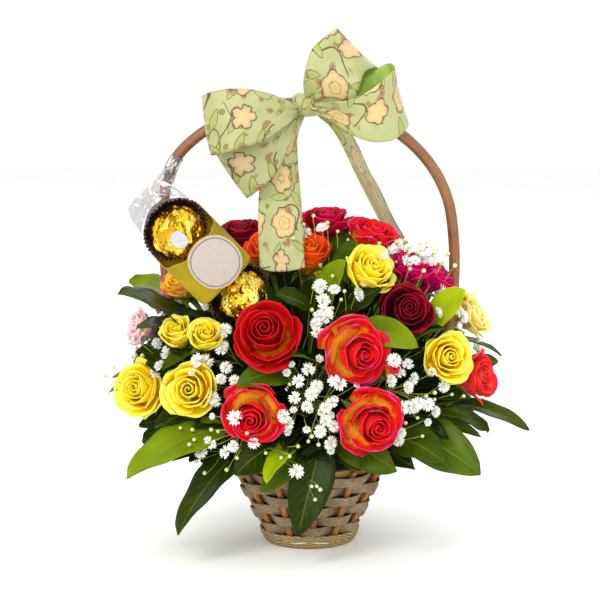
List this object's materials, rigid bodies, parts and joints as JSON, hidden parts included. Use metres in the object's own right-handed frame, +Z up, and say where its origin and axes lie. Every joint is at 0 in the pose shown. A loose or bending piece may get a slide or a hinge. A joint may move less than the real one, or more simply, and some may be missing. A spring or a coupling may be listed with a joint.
{
  "type": "flower basket arrangement",
  "caption": "Round chip-wood basket filled with mixed spray roses, glossy leaves and baby's breath, with a tall cane handle, a printed ribbon bow and a pack of gold foil sweets.",
  "frame": {"origin": "centre of the basket's base, on the surface it stands on", "axes": "+Z up; -Y towards the front of the arrangement; +X to the right seen from the front"},
  "size_m": [0.257, 0.199, 0.3192],
  "materials": {
    "cane": "satin",
    "chip_wood": "matte",
    "straw": "matte",
    "liner": "satin",
    "floral_foam": "matte",
    "ribbon": "satin",
    "gold_foil": "gloss",
    "brown_paper": "matte",
    "sleeve_card": "gloss",
    "clear_film": "gloss",
    "pick_wood": "matte",
    "petals_red": "matte",
    "petals_flame": "matte",
    "petals_yellow": "matte",
    "petals_wine": "matte",
    "petals_magenta": "matte",
    "petals_pink": "matte",
    "petals_cream": "matte",
    "foliage": "satin",
    "breath": "matte"
  },
  "bodies": {
    "root": {"basket_frame": "cane", "weaver_1": "chip_wood", "weaver_2": "chip_wood", "weaver_3": "chip_wood", "weaver_4": "chip_wood", "weaver_5": "chip_wood", "weaver_6": "chip_wood", "foot_band": "straw", "rim_hoop": "cane", "liner": "liner", "handle": "cane", "foam": "floral_foam", "ribbon_knot": "ribbon", "loop_left_upper": "ribbon", "loop_left_lower": "ribbon", "loop_right_upper": "ribbon", "loop_right_lower": "ribbon", "tail_left": "ribbon", "tail_right": "ribbon", "sweet_top": "gold_foil", "sweet_middle": "gold_foil", "sweet_low": "gold_foil", "sweets_sleeve": "sleeve_card", "cup_top": "brown_paper", "cup_low": "brown_paper", "sweets_film": "clear_film", "sweets_pick": "pick_wood", "rose_red_front": "petals_red", "rose_flame_upper": "petals_flame", "rose_flame_right": "petals_flame", "rose_flame_left": "petals_flame", "rose_yellow_far_left": "petals_yellow", "rose_yellow_left": "petals_yellow", "buds_yellow": "petals_yellow", "rose_yellow_right": "petals_yellow", "rose_burgundy_right": "petals_wine", "roses_magenta": "petals_magenta", "rose_crimson_crown": "petals_magenta", "rose_red_crown": "petals_red", "rose_yellow_crown": "petals_yellow", "rose_orange_crown": "petals_flame", "rose_burgundy_crown": "petals_wine", "rose_yellow_pink": "petals_yellow", "rose_pink": "petals_pink", "rose_pale_yellow": "petals_cream", "rose_red_right": "petals_red", "bud_red": "petals_red", "roses_red_back": "petals_red", "roses_yellow_back": "petals_yellow", "roses_magenta_back": "petals_magenta", "roses_flame_back": "petals_flame", "leaves_left": "foliage", "leaves_front": "foliage", "leaves_right": "foliage", "leaves_crown": "foliage", "leaves_back": "foliage", "breath_front": "breath", "breath_left": "breath", "breath_right": "breath", "breath_back": "breath"}
  },
  "joints": []
}
